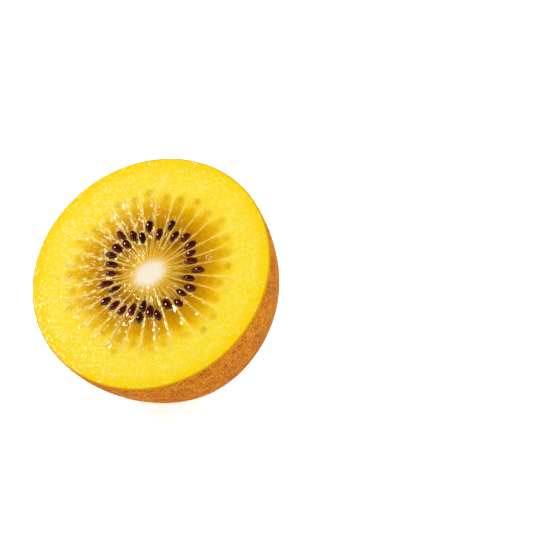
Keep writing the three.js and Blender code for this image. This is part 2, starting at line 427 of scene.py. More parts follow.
stretched = polar * GEL_STRETCH
gel = ripple(stretched, 1.0) + 0.6 * ripple(stretched, 0.45, 3)
cell = domes(polar * CELL_STRETCH) * smooth(radii, 11, 17)
relief += (0.025 + 0.06 * wet) * gel * marks["locule"] * (1 - marks["core"])
relief += (0.03 * ripple(face, 1.4, 11) + 0.02 * ripple(face, 0.6, 5)) * (1 - marks["core"])
relief += (0.02 + 0.06 * wet) * cell * (1 - 0.7 * marks["locule"])
torn = smooth(ripple(polar * TORN_STRETCH, 1.0, 6), 0.1, 0.42) * smooth(wet, 0.1, 0.7)
torn = torn * marks["near_wall"] * smooth(radii, 7, 9) * (1 - smooth(radii, 16, 21))
torn = torn * smooth(ripple(face, 0.55, 9) + 0.4 * wet, -0.1, 0.3)
relief += 0.15 * torn * (1 - socket)
relief += 0.12 * marks["halo"] - 0.25 * socket
marks["torn"] = torn * (1 - marks["shade"])
marks["wet"] = wet
face[..., 2] = relief
marks["polar"] = polar
print("relief in mm from", round(relief.min(), 2), "to", round(relief.max(), 2))


# %% Side of the fruit below the cut
DIMPLE_DEPTH, DIMPLE_RADIUS = 0.7, 5  # the hollow that the stalk sits in


def side_at(depth_share, turns, inset=0.0):
    """Points of the skin's surface at a share of the way from the cut to the stem end."""
    angle = (1 - depth_share) * math.pi / 2
    radius = CUT_RADIUS * math.sin(angle)
    height = -HALF_LENGTH * math.cos(angle)
    height += DIMPLE_DEPTH * math.exp(-((radius / DIMPLE_RADIUS) ** 2))
    depth = -height / HALF_LENGTH
    wave = np.cos(LUMP_LOBES * np.radians(turns - LUMP_CREST)) * math.sin(math.pi * depth)
    out = radius * (1 + (outline(turns) - 1) * (1 - depth) + LUMP_SHARE * wave)
    slope = np.array([math.sin(angle) / CUT_RADIUS, math.cos(angle) / HALF_LENGTH])
    inwards, upwards = inset * slope / np.linalg.norm(slope)
    out = out - inwards
    points = np.zeros((len(turns), 3))
    points[:, 0] = out * np.cos(np.radians(turns))
    points[:, 1] = out * np.sin(np.radians(turns))
    points[:, 2] = height + upwards
    return points


halfway = np.hypot(*side_at(0.5, np.zeros(1))[0, :2])
print("halfway down, the skin is", round(halfway, 1), "mm from the axis")

# %% Make the flesh
FLESH_MARKS = (
    "wall", "locule", "amber", "dot", "strand", "fibre",
    "core", "rim", "shade", "halo", "torn", "wet",
)
FLESH_INSET = SKIN_THICKNESS - OVERLAP
flesh_sides = [side_at(share, face_turns, FLESH_INSET) for share in np.linspace(0.02, 0.97, 8)]
flesh_rings = np.concatenate([face, np.stack(flesh_sides)])
centre_height = relief[0].mean()
flesh_end = -HALF_LENGTH + DIMPLE_DEPTH + FLESH_INSET
flesh_poles = [(CORE_X, CORE_Y, centre_height), (0, 0, flesh_end)]
flesh_points = np.vstack([flesh_rings.reshape(-1, 3), flesh_poles])


def pad(values, inner):
    """A mark of the face carried on with zeros down the side, and with its pole values."""
    flat = values.reshape(-1, *values.shape[2:])
    side = np.zeros((len(flesh_sides) * FACE_TURNS, *values.shape[2:]))
    return np.concatenate([flat, side, np.full((1, *values.shape[2:]), inner), side[:1]])


flesh_marks = {
    name: pad(marks[name], 1.0 if name == "core" else 0.0) for name in (*FLESH_MARKS, "polar")
}
flesh = make_piece(
    "flesh",
    flesh_points.tolist(),
    ring_faces(len(flesh_rings), FACE_TURNS),
    {name: values.astype(np.float32) for name, values in flesh_marks.items()},
)

# %% [markdown]
# ## The skin
#
# A golden kiwi's skin is a third of a millimetre thick and clings to the flesh. It is a closed
# shell here, and not just a coat of paint on the flesh, because the knife leaves its edge bare
# as a thin brown line round the cut. The solid gives its form: long, slightly lumpy, with a
# shallow dimple and the dry scar of the stalk at the far end. Fine dimples and wrinkles are
# real mesh, about three points to the millimetre.

# %% Rings of the skin
SKIN_TURNS = 560
skin_turns = np.arange(SKIN_TURNS) * 360 / SKIN_TURNS
outer_shares = np.concatenate([np.linspace(0.0065, 0.93, 132), np.linspace(0.936, 0.998, 20)])
inner_shares = np.linspace(0.97, 0.02, 10)
SCAR_RADIUS, SCAR_HEIGHT, SCAR_EDGE = 2.3, 1.1, 1.0


def skin_ring(share):
    """One ring of the skin's outside, with its fine unevenness and the stalk's scar."""
    ring = side_at(share, skin_turns)
    radius = np.hypot(ring[:, 0], ring[:, 1])
    on_scar = 1 - smooth(radius, SCAR_RADIUS - SCAR_EDGE / 2, SCAR_RADIUS + SCAR_EDGE / 2)
    wrinkle = 0.045 * ripple(ring, 1.6, 2) + 0.03 * ripple(ring, 0.8, 9)
    frayed = 0.16 * ripple(ring, 0.7, 4) + 0.1 * ripple(ring, 0.35, 6)
    normal = ring * (1 / CUT_RADIUS**2, 1 / CUT_RADIUS**2, 1 / HALF_LENGTH**2)
    normal /= np.linalg.norm(normal, axis=1)[:, None]
    ring += normal * (wrinkle * (1 - on_scar))[:, None]
    ring[:, 2] += (frayed - SCAR_HEIGHT) * on_scar
    return ring, on_scar


outer_rings, scar_marks = zip(*[skin_ring(share) for share in outer_shares])
inner_rings = [side_at(share, skin_turns, SKIN_THICKNESS) for share in inner_shares]
edge_out = outer_rings[0] * (1, 1, 0) + (0, 0, -0.2)
edge_in = side_at(0, skin_turns, SKIN_THICKNESS + 0.1) * (1, 1, 0) + (0, 0, -0.14)
ragged = ripple(edge_in, 1.3, 3) + 0.6 * ripple(edge_in, 0.5, 5)
edge_in *= 1 - 0.004 * np.abs(ragged)[:, None]
edge_mid = (edge_out + edge_in) / 2 + (0, 0, 0.12)
edge_mid[:, 2] += 0.05 * ragged
skin_rings = np.stack([*inner_rings, edge_in, edge_mid, edge_out * (0.9985, 0.9985, 1), *outer_rings])
skin_poles = [(0, 0, inner_rings[0][:, 2].min() - 0.05), (0, 0, outer_rings[-1][:, 2].mean())]
skin_points = np.vstack([skin_rings.reshape(-1, 3), skin_poles])
print("the skin has", len(skin_rings), "rings of", SKIN_TURNS, "points")

# %% Rest the skin on its flat spot
in_row = skin_points @ np.array(lean.to_3x3()).T + np.array(cut_centre)
print("the skin would sink", round(-in_row[:, 2].min(), 2), "mm into the floor")
in_row[:, 2] = np.maximum(in_row[:, 2], 0.0)
skin_points = (in_row - np.array(cut_centre)) @ np.array(lean.to_3x3())

scar = np.zeros(len(skin_points))
outer_start = (len(skin_rings) - len(outer_rings)) * SKIN_TURNS
scar[outer_start:-2] = np.concatenate(scar_marks)
scar[-1] = 1
cut_edge = np.zeros(len(skin_points))
cut_edge[len(inner_rings) * SKIN_TURNS : outer_start] = 1
skin = make_piece(
    "skin",
    skin_points.tolist(),
    ring_faces(len(skin_rings), SKIN_TURNS),
    {"scar": scar.astype(np.float32), "cut_edge": cut_edge.astype(np.float32)},
)

# %% [markdown]
# ## The seeds
#
# A kiwi seed is a plump drop, blunt at its outer end, pointed towards the core and a little
# flattened. It could be a scaled sphere, but the point is what makes it read as a seed. So each
# one is a small body of rings with its own size, turn, tilt and depth, and all of them are joined
# into one mesh, because they share one finish.

# %% Make the seeds
SEED_TURNS, SEED_RINGS = 28, 22


def seed_points(seed):
    """Rings and poles of one seed in the fruit's own frame, from its outer end inwards."""
    steps = np.cos(np.linspace(0, math.pi, SEED_RINGS + 2))
    angles = np.arange(SEED_TURNS) * 2 * math.pi / SEED_TURNS
    rings = []
    for step in steps:
        girth = math.sqrt(max(1 - step, 0)) * max(1 + step, 0) ** 0.78 / 1.03
        ring = np.zeros((SEED_TURNS, 3))
        ring[:, 0] = step * SEED_LENGTH / 2
        ring[:, 1] = girth * np.cos(angles) * SEED_WIDTH / 2 * seed["plump"]
        ring[:, 2] = -girth * np.sin(angles) * SEED_THICKNESS / 2
        rings.append(ring)
    body = np.stack(rings) * seed["size"]
    body *= 1 + 0.025 * ripple(body, 0.5, seed["x"])[..., None]
    place = (
        Matrix.Translation((seed["x"], seed["y"], seed["lift"]))
        @ Matrix.Rotation(math.radians(seed["turn"]), 4, "Z")
        @ Matrix.Rotation(math.radians(seed["tilt"]), 4, "Y")
    )
    flat = body.reshape(-1, 3) @ np.array(place.to_3x3()).T + np.array(place.translation)
    return np.vstack([flat[SEED_TURNS:-SEED_TURNS], flat[:1], flat[-1:]])


all_points, all_faces = [], []
for seed in seeds:
    all_faces += ring_faces(SEED_RINGS, SEED_TURNS, sum(len(points) for points in all_points))
    all_points.append(seed_points(seed))
tones = np.concatenate([np.full(len(p), s["tone"]) for p, s in zip(all_points, seeds)])
seed_piece = make_piece(
    "seeds", np.vstack(all_points).tolist(), all_faces, {"tone": tones.astype(np.float32)}
)

# %% [markdown]
# ## The juice
#
# A fresh cut is wet. Most of that wetness is in the finish of the flesh, but along the walls the
# knife drags up small crumbs and curls of pale gel, and these give the brightest glints. They are
# separate beads here, because a bump can't stand clear of the face. Each is flattened, pulled out
# roughly along its wall, a little bent, and sunk almost halfway into the flesh. One larger curl,
# right of the seeds, is made of four of them.

# %% Shape of one bead of gel
BEAD_TURNS, BEAD_RINGS = 10, 6


def face_height(x, y):
    """Height of the cut face at a point, from the grid's nearest point."""
    dx, dy = x - CORE_X, y - CORE_Y
    radius = math.hypot(dx, dy)
    for _ in range(3):
        shift = 1 - radius / CUT_RADIUS
        radius = math.hypot(x - CORE_X * shift, y - CORE_Y * shift)
    shift = 1 - radius / CUT_RADIUS
    turn = math.degrees(math.atan2(y - CORE_Y * shift, x - CORE_X * shift)) % 360
    ring = int(np.abs(face_radii - radius).argmin())
    return relief[ring, int(round(turn / 360 * FACE_TURNS)) % FACE_TURNS]


def bead_points(x, y, turn, length, width, height):
    """Rings and poles of one bead of gel, lying along a turn."""
    steps = np.cos(np.linspace(0, math.pi, BEAD_RINGS + 2))
    angles = np.arange(BEAD_TURNS) * 2 * math.pi / BEAD_TURNS
    girth = np.sqrt(np.clip(1 - steps**2, 0, 1))
    body = np.zeros((BEAD_RINGS + 2, BEAD_TURNS, 3))
    body[..., 0] = steps[:, None] * length / 2
    body[..., 1] = girth[:, None] * np.cos(angles) * width / 2
    body[..., 2] = -girth[:, None] * np.sin(angles) * height / 2
    body[..., 1] += 0.25 * width * np.sin(steps * 2.5 + x)[:, None]
    body *= 1 + 0.18 * ripple(body + (x, y, 0), 0.35)[..., None]
    spin = np.array(Matrix.Rotation(math.radians(turn), 3, "Z"))
    flat = body.reshape(-1, 3) @ spin.T + (x, y, face_height(x, y) + 0.1 * height)
    return np.vstack([flat[BEAD_TURNS:-BEAD_TURNS], flat[:1], flat[-1:]])


print("the face is", round(face_height(CORE_X, CORE_Y), 2), "mm high in the core")

# %% Crumbs of gel along the walls
BEADS = 560
BEAD_SIDE = 235  # the side where the knife dragged most gel up
BEAD_HEIGHT, CURL_HEIGHT = 0.2, 0.5
SEED_MARGIN = 1.05  # no bead lies nearer to a seed than this share of its outline
bead_sets, bead_faces = [], []
drip = np.random.default_rng(7)
while len(bead_sets) < BEADS:
    i = drip.integers(LOCULES)
    radius = drip.uniform(5.5, 19)
    turn = wall_turns[i] + wall_sways[i] * (radius - 8) / 10 + drip.normal(0, 14 / radius)
    x, y = on_face(radius, turn)
    wetness = noise.noise((x / 3, y / 3, 3.3)) + 0.25 * math.cos(math.radians(turn - BEAD_SIDE))
    if drip.uniform(-0.3, 0.7) > wetness:
        continue
    if min(seed_distance(np.array([x, y, 0.0]), seed) for seed in seeds) < SEED_MARGIN:
        continue
    long = drip.uniform(0.2, 0.8)
    bead_faces += ring_faces(BEAD_RINGS, BEAD_TURNS, sum(len(points) for points in bead_sets))
    bead_turn = turn + drip.normal(0, 25)
    bead_sets.append(bead_points(x, y, bead_turn, long, drip.uniform(0.12, 0.24), BEAD_HEIGHT))

print(len(bead_sets), "crumbs of gel lie on the face")

# %% One torn curl, and all the gel as one piece
CURL_RADIUS, CURL_TURN = 13.0, 24
# Each stroke's shift in x and y, turn, length and width
CURL_STROKES = (
    (-0.6, 0.0, 100, 1.1, 0.3),
    (-0.1, 0.6, 35, 0.9, 0.24),
    (0.4, 0.15, 5, 0.9, 0.26),
    (0.25, -0.4, 20, 1.2, 0.26),
)
curl_x = CURL_RADIUS * math.cos(math.radians(CURL_TURN))
curl_y = CURL_RADIUS * math.sin(math.radians(CURL_TURN))
for shift_x, shift_y, turn, long, wide in CURL_STROKES:
    bead_faces += ring_faces(BEAD_RINGS, BEAD_TURNS, sum(len(points) for points in bead_sets))
    x, y = curl_x + shift_x, curl_y + shift_y
    bead_sets.append(bead_points(x, y, turn, long, wide, CURL_HEIGHT))
juice = make_piece("juice", np.vstack(bead_sets).tolist(), bead_faces)

# %% [markdown]
# ## The fuzz
#
# The skin of a golden kiwi looks bald, but against the light a very short down shows. Hair
# curves would be the usual way in Blender, yet they are lost when the model is exported, so each
# hair is a tiny closed spike with three sides. A real hair is a few hundredths of a millimetre
# wide. These are as wide as they need to be to show at all.

# %% Roots of the hairs
HAIRS = 26000
HAIR_WIDTH = 0.045
BALD_RINGS = 8  # the middle of the stalk's scar has no hair
down = np.random.default_rng(12)
outer = np.stack(outer_rings)
# Longer rings get more hairs, so that the down is even.
ring_radii = [np.hypot(*ring[0, :2]) for ring in outer[:-BALD_RINGS]]
ring_index = np.searchsorted(np.cumsum(ring_radii), down.uniform(0, sum(ring_radii), HAIRS))
turn_index = down.integers(SKIN_TURNS, size=HAIRS)
ring_index = np.minimum(ring_index, len(outer) - BALD_RINGS - 1)
roots = outer[ring_index, turn_index]
roots = roots + (outer[ring_index + 1, turn_index] - roots) * down.uniform(0, 1, (HAIRS, 1))
roots = roots + (outer[ring_index, (turn_index + 1) % SKIN_TURNS] - roots) * down.uniform(
    0, 0.5, (HAIRS, 1)
)
print(HAIRS, "roots, on average", round(float(np.hypot(*roots.T[:2]).mean()), 1), "mm off the axis")

# %% Make the fuzz
away = roots * (1 / CUT_RADIUS**2, 1 / CUT_RADIUS**2, 1 / HALF_LENGTH**2)
away /= np.linalg.norm(away, axis=1)[:, None]
leaning = away + down.normal(0, 0.45, (HAIRS, 3)) + (0, 0, -0.25)
leaning /= np.linalg.norm(leaning, axis=1)[:, None]
tips = roots + leaning * down.uniform(0.1, 0.28, (HAIRS, 1))
sideways = np.cross(leaning, down.normal(0, 1, (HAIRS, 3)))
sideways *= HAIR_WIDTH / 2 / np.linalg.norm(sideways, axis=1)[:, None]
crossways = np.cross(leaning, sideways)
buried = roots - leaning * 0.05
three = [  # corners of each hair's foot
    buried + sideways * math.cos(a) + crossways * math.sin(a) for a in np.radians((0, 120, 240))
]
hair_points = np.stack([*three, tips], axis=1)
tip_heights = tips @ np.array(lean.to_3x3())[2] + cut_centre[2]
hair_points = hair_points[tip_heights > 0.05].reshape(-1, 3)
base = np.arange(0, len(hair_points), 4)[:, None]
sides = ((0, 1, 3), (1, 2, 3), (2, 0, 3), (0, 2, 1))
hair_faces = np.concatenate([base + side for side in sides])
fuzz = make_piece("fuzz", hair_points.tolist(), hair_faces.tolist())

# %% [markdown]
# ## Helpers for finishes
#
# Every finish is a Principled shader fed by a few procedural nodes. Small helpers keep the cells
# short: one turns the hex colours that a colour picker gives into the linear values that light is
# computed in, one works out a texture's scale from a real size, one adds a node with its settings
# and links, and one starts a material. Colours lie over each other like glazes. So each finish
# lists its layers from the bottom up, and a loop adds a Mix node for each of them.

# %% Finish helpers
def srgb(code):
    """A hex colour as linear red, green, blue and alpha."""
    parts = [int(code[i : i + 2], 16) / 255 for i in (1, 3, 5)]
    return (*[p / 12.92 if p <= 0.04045 else ((p + 0.055) / 1.055) ** 2.4 for p in parts], 1)


def per_mm(size):
    """Texture scale whose pattern repeats at that size in mm."""
    return 1 / (size * MM)


def add(tree, kind, inputs, **settings):
    """Adds a node with its settings. Inputs that are sockets are linked, and others are set."""
    node = tree.nodes.new("ShaderNode" + kind)
    for name, value in settings.items():
        setattr(node, name, value)
    for name, value in inputs.items():
        if isinstance(value, bpy.types.NodeSocket):
            tree.links.new(value, node.inputs[name])
        else:
            node.inputs[name].default_value = value
    return node


def new_finish(name):
    """A new material, and its node tree with nothing in it."""
    material = bpy.data.materials.new(name)
    material.use_nodes = True
    material.node_tree.nodes.clear()
    return material, material.node_tree


MIX, A, B, MIXED = 0, 6, 7, 2  # sockets of a Mix node that mixes colours
RANGE = ("Value", "From Min", "From Max", "To Min", "To Max")  # inputs of a Map Range node
print("amber in linear light:", [round(part, 3) for part in srgb("#BA7E04")[:3]])

# %% [markdown]
# ## Finish of the flesh
#
# Ripe kiwi flesh is wet plant tissue: thin-walled cells full of juice, cut open by a knife. Light
# goes in, scatters a fraction of a millimetre and comes out warmer, and the wet surface adds
# small sharp glints. A painted picture could give its colours, but it would fit this one fruit
# only. So procedural patterns are laid over each other by the marks that the mesh carries.

# %% Marks and patterns of the flesh
material, tree = new_finish("wet_golden_kiwi_flesh")
where = add(tree, "TexCoord", {}).outputs["Object"]
mark = {
    name: add(tree, "Attribute", {}, attribute_name=name).outputs["Fac"]
    for name in FLESH_MARKS
}
polar_mark = add(tree, "Attribute", {}, attribute_name="polar").outputs["Vector"]
distance = add(tree, "SeparateXYZ", {"Vector": polar_mark}).outputs["Z"]

# Size in mm and detail of each soft pattern. Real crinkles and crumbs of cut cells are about
# 0.2 mm across, and they are drawn two to four times as coarse so that they show.
FLESH_PATTERNS = {
    "clouds": (3.5, 3.0),
    "specks": (0.9, 3.0),
    "clusters": (2.2, 2.0),
    "crinkles": (0.42, 2.0),
    "crumbs": (0.7, 0.5),
}
pattern = {}
for name, (size, detail) in FLESH_PATTERNS.items():
    noise_inputs = {"Vector": where, "Scale": per_mm(size), "Detail": detail}
    pattern[name] = add(tree, "TexNoise", noise_inputs).outputs["Fac"]
STREAK_STRETCH = (26, 26, 0.6)  # per radian of turn, twice, and per mm outwards
spokes = add(tree, "VectorMath", {0: polar_mark, 1: STREAK_STRETCH}, operation="MULTIPLY")
streaks = {"Vector": spokes.outputs[0], "Scale": 1.0, "Detail": 3.0}
pattern["streaks"] = add(tree, "TexNoise", streaks).outputs["Fac"]
print("the flesh has", len(mark), "marks and", len(pattern), "patterns")

# %% [markdown]
# The knife cuts the juice cells of the outer flesh open, and they look like tiny pale pearls. Their
# pale colour is partly painted glint, and so are the crinkles in the torn gel. A Voronoi pattern
# packs round cells side by side, as in the relief, stretched in the same way. Each gets its size by
# lot, they are larger on the wet side, which faces the key lamp, and soft clusters keep them from
# looking evenly strewn. Every share here brings one mark or pattern from a low and a high value to
# 0 and 1, or to the two values after them.

# %% Cut juice cells and torn gel, partly painted glints
oblong = add(tree, "VectorMath", {0: polar_mark, 1: CELL_STRETCH}, operation="MULTIPLY")
cells = add(tree, "TexVoronoi", {"Vector": oblong.outputs[0], "Scale": 1.0}, feature="F1")
lot = add(tree, "SeparateColor", {"Color": cells.outputs["Color"]}).outputs["Red"]
FLESH_SHARES = {
    "pale_specks": (pattern["specks"], 0.35, 0.7),
    "clouds": (pattern["clouds"], 0.35, 0.68, 0.0, 0.8),
    "golden": (distance, 19, 14.5, 0.0, 0.85),
    "streaks": (pattern["streaks"], 0.4, 0.7, 0.0, 0.42),
    "lumps": (pattern["specks"], 0.32, 0.65, 0.25, 1.7),
    "lip_glint_by_wetness": (mark["wet"], 0.3, 0.9, 0.1),
    "torn": (mark["torn"], 0.04, 0.25),
    "crinkles": (pattern["crinkles"], 0.49, 0.55),
    "size_by_wetness": (mark["wet"], 0.1, 0.9, 0.31, 0.47),
    "size_by_lot": (lot, 0.0, 0.8, 0.35, 1.0),
    "clusters": (pattern["clusters"], 0.38, 0.6, 0.3, 1.0),
    "outer_flesh": (distance, 14, 19),
    "pith": (mark["core"], 0.2, 0.95),
}
share = {}
for name, ranges in FLESH_SHARES.items():
    share[name] = add(tree, "MapRange", dict(zip(RANGE, ranges))).outputs[0]

cell_size = add(
    tree, "Math", {0: share["size_by_wetness"], 1: share["size_by_lot"]}, operation="MULTIPLY"
)
inside = add(
    tree, "Math", {0: cell_size.outputs[0], 1: cells.outputs["Distance"]}, operation="SUBTRACT"
)
share["cell"] = add(tree, "MapRange", dict(zip(RANGE, (inside.outputs[0], 0.0, 0.1)))).outputs[0]
PRODUCTS = (
    ("spotted", mark["strand"], share["lumps"]),
    ("lip", mark["halo"], share["lip_glint_by_wetness"]),
    ("painted_glint", share["torn"], share["crinkles"]),
    ("bright", share["cell"], share["clusters"]),
)
for name, one, other in PRODUCTS:
    share[name] = add(tree, "Math", {0: one, 1: other}, operation="MULTIPLY").outputs[0]
pearls = {0: share["bright"], 1: share["outer_flesh"]}
share["pearls"] = add(tree, "Math", pearls, operation="MULTIPLY").outputs[0]
dark = {0: mark["locule"], 1: share["spotted"]}
share["dark"] = add(tree, "Math", dark, operation="MULTIPLY", use_clamp=True).outputs[0]
print("the flesh's layers have", len(share), "shares of their own")

# %% [markdown]
# The pockets are darkest where the seeds lie, and the walls grow paler outwards. Colour ramps over
# the distance from the core say this most plainly, in millimetres.

# %% Colours that follow the distance from the core
RAMPS = {
    "amber": (
        (3, "#D89E00"), (5.5, "#C68A00"), (8, "#A06202"),
        (11, "#BA7E04"), (13, "#D49A04"), (17.5, "#F4CC10"),
    ),
    "dark_amber": (
        (3, "#C08C00"), (8, "#905C02"), (11, "#AC7204"), (13, "#C48C02"), (17.5, "#E4B604"),
    ),
    "wall": ((7, "#E8C464"), (13, "#F8DC66"), (18, "#FFF294")),
}
by_distance = {}
for name, stops in RAMPS.items():
    first, last = stops[0][0], stops[-1][0]
    place = add(tree, "MapRange", dict(zip(RANGE, (distance, first, last))))
    ramp = add(tree, "ValToRGB", {"Fac": place.outputs[0]})
    elements = ramp.color_ramp.elements
    for _ in stops[2:]:
        elements.new(0.5)
    for element, (at, code) in zip(elements, stops):
        element.position = (at - first) / (last - first)
        element.color = srgb(code)
    by_distance[name] = ramp.outputs["Color"]
amber_inputs = {MIX: share["streaks"], A: by_distance["amber"], B: srgb("#E6B204")}
amber = add(tree, "Mix", amber_inputs, data_type="RGBA").outputs[MIXED]
pith_inputs = {MIX: share["pith"], A: srgb("#F0D05E"), B: srgb("#F6EEDE")}
pith = add(tree, "Mix", pith_inputs, data_type="RGBA").outputs[MIXED]
print("colour ramps:", ", ".join(by_distance))

# %% Lay the flesh's colours over each other
FLESH_LAYERS = (
    (share["pale_specks"], srgb("#FDEC60")),  # paler lumps in the lemon ground
    (share["clouds"], srgb("#FADE2A")),  # broad soft clouds
    (mark["rim"], srgb("#F9D808")),  # deep yellow under the skin
    (share["golden"], srgb("#F2C606")),  # ripe gold towards the pockets
    (mark["amber"], amber),  # juice stains round the pockets
    (mark["dot"], srgb("#DAAA06")),  # faint dots near the pockets' ends
    (share["dark"], by_distance["dark_amber"]),  # sunken pockets
    (mark["shade"], srgb("#70400A")),  # painted shade round the seeds and behind them
    (mark["halo"], srgb("#F6D260")),  # lips pressed up round the seeds, partly painted highlight
    (share["lip"], srgb("#FFF2C4")),  # painted glints on the lips, on the wet side
    (mark["wall"], by_distance["wall"]),
    (mark["fibre"], srgb("#F6DA66")),
    (mark["torn"], srgb("#FAE080")),  # gel that the knife dragged up, pale partly as painted highlight
    (share["painted_glint"], srgb("#FFF4BC")),  # painted glints on the crinkles in that gel
    (share["pearls"], srgb("#FFF2AC")),  # cut juice cells, pale partly as painted glints
    (mark["core"], pith),
)
colour = srgb("#FADC2C")
for amount, glaze in FLESH_LAYERS:
    mix = {MIX: amount, A: colour, B: glaze}
    colour = add(tree, "Mix", mix, data_type="RGBA").outputs[MIXED]
print(len(FLESH_LAYERS), "layers of colour over the lemon ground")

# %% [markdown]
# The film of juice is smooth as glass and follows the crumbs under it, so the lamp shows in it as
# many small glints. A coat over the flesh would add a second, bluish reflection that makes the
# amber look milky. So the flesh's own reflection is made smooth and very faintly yellow instead.
# Subsurface scattering gives the soft depth of the tissue.

# %% Wet surface of the flesh
FILM_HEIGHT = 0.08  # mm
SCATTER = 0.22  # mm that red light travels in the flesh
crumbs = {"Height": pattern["crumbs"], "Distance": FILM_HEIGHT * MM, "Strength": 0.8}
shader = add(
    tree,
    "BsdfPrincipled",
    {
        "Base Color": colour,
        "Roughness": 0.05,
        "IOR": 1.45,
        "Specular Tint": srgb("#FFF4C4"),
        "Subsurface Weight": 0.3,
        "Subsurface Radius": (1.0, 0.6, 0.15),
        "Subsurface Scale": SCATTER * MM,
        "Normal": add(tree, "Bump", crumbs).outputs[0],
    },
)
add(tree, "OutputMaterial", {"Surface": shader.outputs[0]})
flesh.data.materials.append(material)
print(material.name, "has", len(tree.nodes), "nodes")

# %% [markdown]
# ## Finish of the skin
#
# The skin is dry and leathery, bronze to tan, and feels like fine suede. A single brown would look
# like plastic. Its colour is broken up at several scales: broad patches where the sun reached it,
# a mottle, a grain like cloth, pale flecks and countless dark pores. It has hardly any gloss. A
# trace of sheen stands for the down that is too fine to model.

# %% Patterns of the skin
material, tree = new_finish("dry_kiwi_skin")
where = add(tree, "TexCoord", {}).outputs["Object"]
SKIN_PATTERNS = {  # size in mm, detail and roughness
    "patches": (7, 3.0, 0.5),
    "mottle": (2.4, 4.0, 0.5),
    "grain": (0.44, 2.0, 0.6),
}
pattern = {}
for name, (size, detail, rough) in SKIN_PATTERNS.items():
    noise_inputs = {"Vector": where, "Scale": per_mm(size), "Detail": detail, "Roughness": rough}
    pattern[name] = add(tree, "TexNoise", noise_inputs).outputs["Fac"]

# Real pores and flecks are about 0.1 mm wide. They are drawn up to 0.5 mm wide so that they
# show, at about their real spacing.
PORE_SPACING, FLECK_SPACING = 0.8, 0.7
pores = add(tree, "TexVoronoi", {"Vector": where, "Scale": per_mm(PORE_SPACING)}, feature="F1")
flecks = add(tree, "TexVoronoi", {"Vector": where, "Scale": per_mm(FLECK_SPACING)}, feature="F1")
lot = add(tree, "SeparateColor", {"Color": pores.outputs["Color"]}).outputs["Red"]
reach = add(tree, "MapRange", dict(zip(RANGE, (lot, 0.0, 1.0, 0.15, 0.36))))
to_pore = add(
    tree, "Math", {0: pores.outputs["Distance"], 1: reach.outputs[0]}, operation="SUBTRACT"
)
SKIN_SHARES = {
    "sunny": (pattern["patches"], 0.35, 0.65),
    "golden": (pattern["mottle"], 0.5, 0.7, 0.0, 0.8),
    "russet": (pattern["mottle"], 0.48, 0.3, 0.0, 0.7),
    "dark_grain": (pattern["grain"], 0.5, 0.7, 0.0, 0.7),
    "pale_grain": (pattern["grain"], 0.47, 0.28, 0.0, 0.75),
    "fleck": (flecks.outputs["Distance"], 0.06, 0.2, 0.6, 0.0),
    "pore": (to_pore.outputs[0], -0.1, 0.0, 0.85, 0.0),
}
share = {}
for name, ranges in SKIN_SHARES.items():
    share[name] = add(tree, "MapRange", dict(zip(RANGE, ranges))).outputs[0]
for name in ("scar", "cut_edge"):
    share[name] = add(tree, "Attribute", {}, attribute_name=name).outputs["Fac"]
print("the skin has", len(pattern), "soft patterns, pores and flecks")

# %% Suede-like skin
SKIN_LAYERS = (
    ("sunny", "#D8861C"),
    ("golden", "#E89A1C"),
    ("russet", "#AE5A18"),
    ("dark_grain", "#8A400C"),
    ("pale_grain", "#F2B048"),
    ("fleck", "#EEC07C"),
    ("pore", "#5E240A"),
    ("scar", "#7E5632"),
    ("cut_edge", "#E2A212"),
)
colour = srgb("#CC7214")
for name, code in SKIN_LAYERS:
    mix = {MIX: share[name], A: colour, B: srgb(code)}
    colour = add(tree, "Mix", mix, data_type="RGBA").outputs[MIXED]

GRAIN_HEIGHT, PORE_DEPTH = 0.08, 0.06  # mm
nap = {"Height": pattern["grain"], "Distance": GRAIN_HEIGHT * MM, "Strength": 0.9}
nap_normal = add(tree, "Bump", nap).outputs[0]
pits = {"Height": share["pore"], "Distance": PORE_DEPTH * MM, "Normal": nap_normal}
shader = add(
    tree,
    "BsdfPrincipled",
    {
        "Base Color": colour,
        "Roughness": 0.6,
        "IOR": 1.45,
        "Specular IOR Level": 0.02,
        "Sheen Weight": 0.005,
        "Sheen Roughness": 0.5,
        "Sheen Tint": srgb("#FFC070"),
        "Normal": add(tree, "Bump", pits, invert=True).outputs[0],
    },
)
add(tree, "OutputMaterial", {"Surface": shader.outputs[0]})
skin.data.materials.append(material)
print(material.name, "has", len(tree.nodes), "nodes")

# %% [markdown]
# ## Finish of the seeds
#
# A seed's shell is hard and very dark, maroon where light gets into it and nearly black at its
# edges, under a film of juice. The black edges are painted shade: the colour darkens where the
# shell is seen edge-on. A fine net of pits covers it, drawn twice as coarse as the real one so
# that it shows. The body has no reflection of its own here: the coat alone gives the small crisp
# highlight, and the pits roughen it a little.

# %% Wet maroon seed shell
PIT_SIZE, PIT_DEPTH = 0.34, 0.02  # mm
material, tree = new_finish("wet_maroon_seed_shell")
where = add(tree, "TexCoord", {}).outputs["Object"]
tone = add(tree, "Attribute", {}, attribute_name="tone").outputs["Fac"]
# Painted shade: darker where the seed is seen edge-on.
facing = add(tree, "LayerWeight", {"Blend": 0.3}).outputs["Facing"]
colour = srgb("#260000")
for amount, code in ((tone, "#640502"), (facing, "#120000")):
    mix = {MIX: amount, A: colour, B: srgb(code)}
    colour = add(tree, "Mix", mix, data_type="RGBA").outputs[MIXED]
pits = add(tree, "TexVoronoi", {"Vector": where, "Scale": per_mm(PIT_SIZE)}, feature="F1")
net = {"Height": pits.outputs["Distance"], "Distance": PIT_DEPTH * MM, "Strength": 0.8}
shader = add(
    tree,
    "BsdfPrincipled",
    {
        "Base Color": colour,
        "Roughness": 0.4,
        "IOR": 1.45,
        "Specular IOR Level": 0.0,
        "Coat Weight": 1.0,
        "Coat Roughness": 0.08,
        "Coat IOR": 1.6,
        "Normal": add(tree, "Bump", net).outputs[0],
    },
)
add(tree, "OutputMaterial", {"Surface": shader.outputs[0]})
seed_piece.data.materials.append(material)
print(material.name, "has", len(tree.nodes), "nodes")

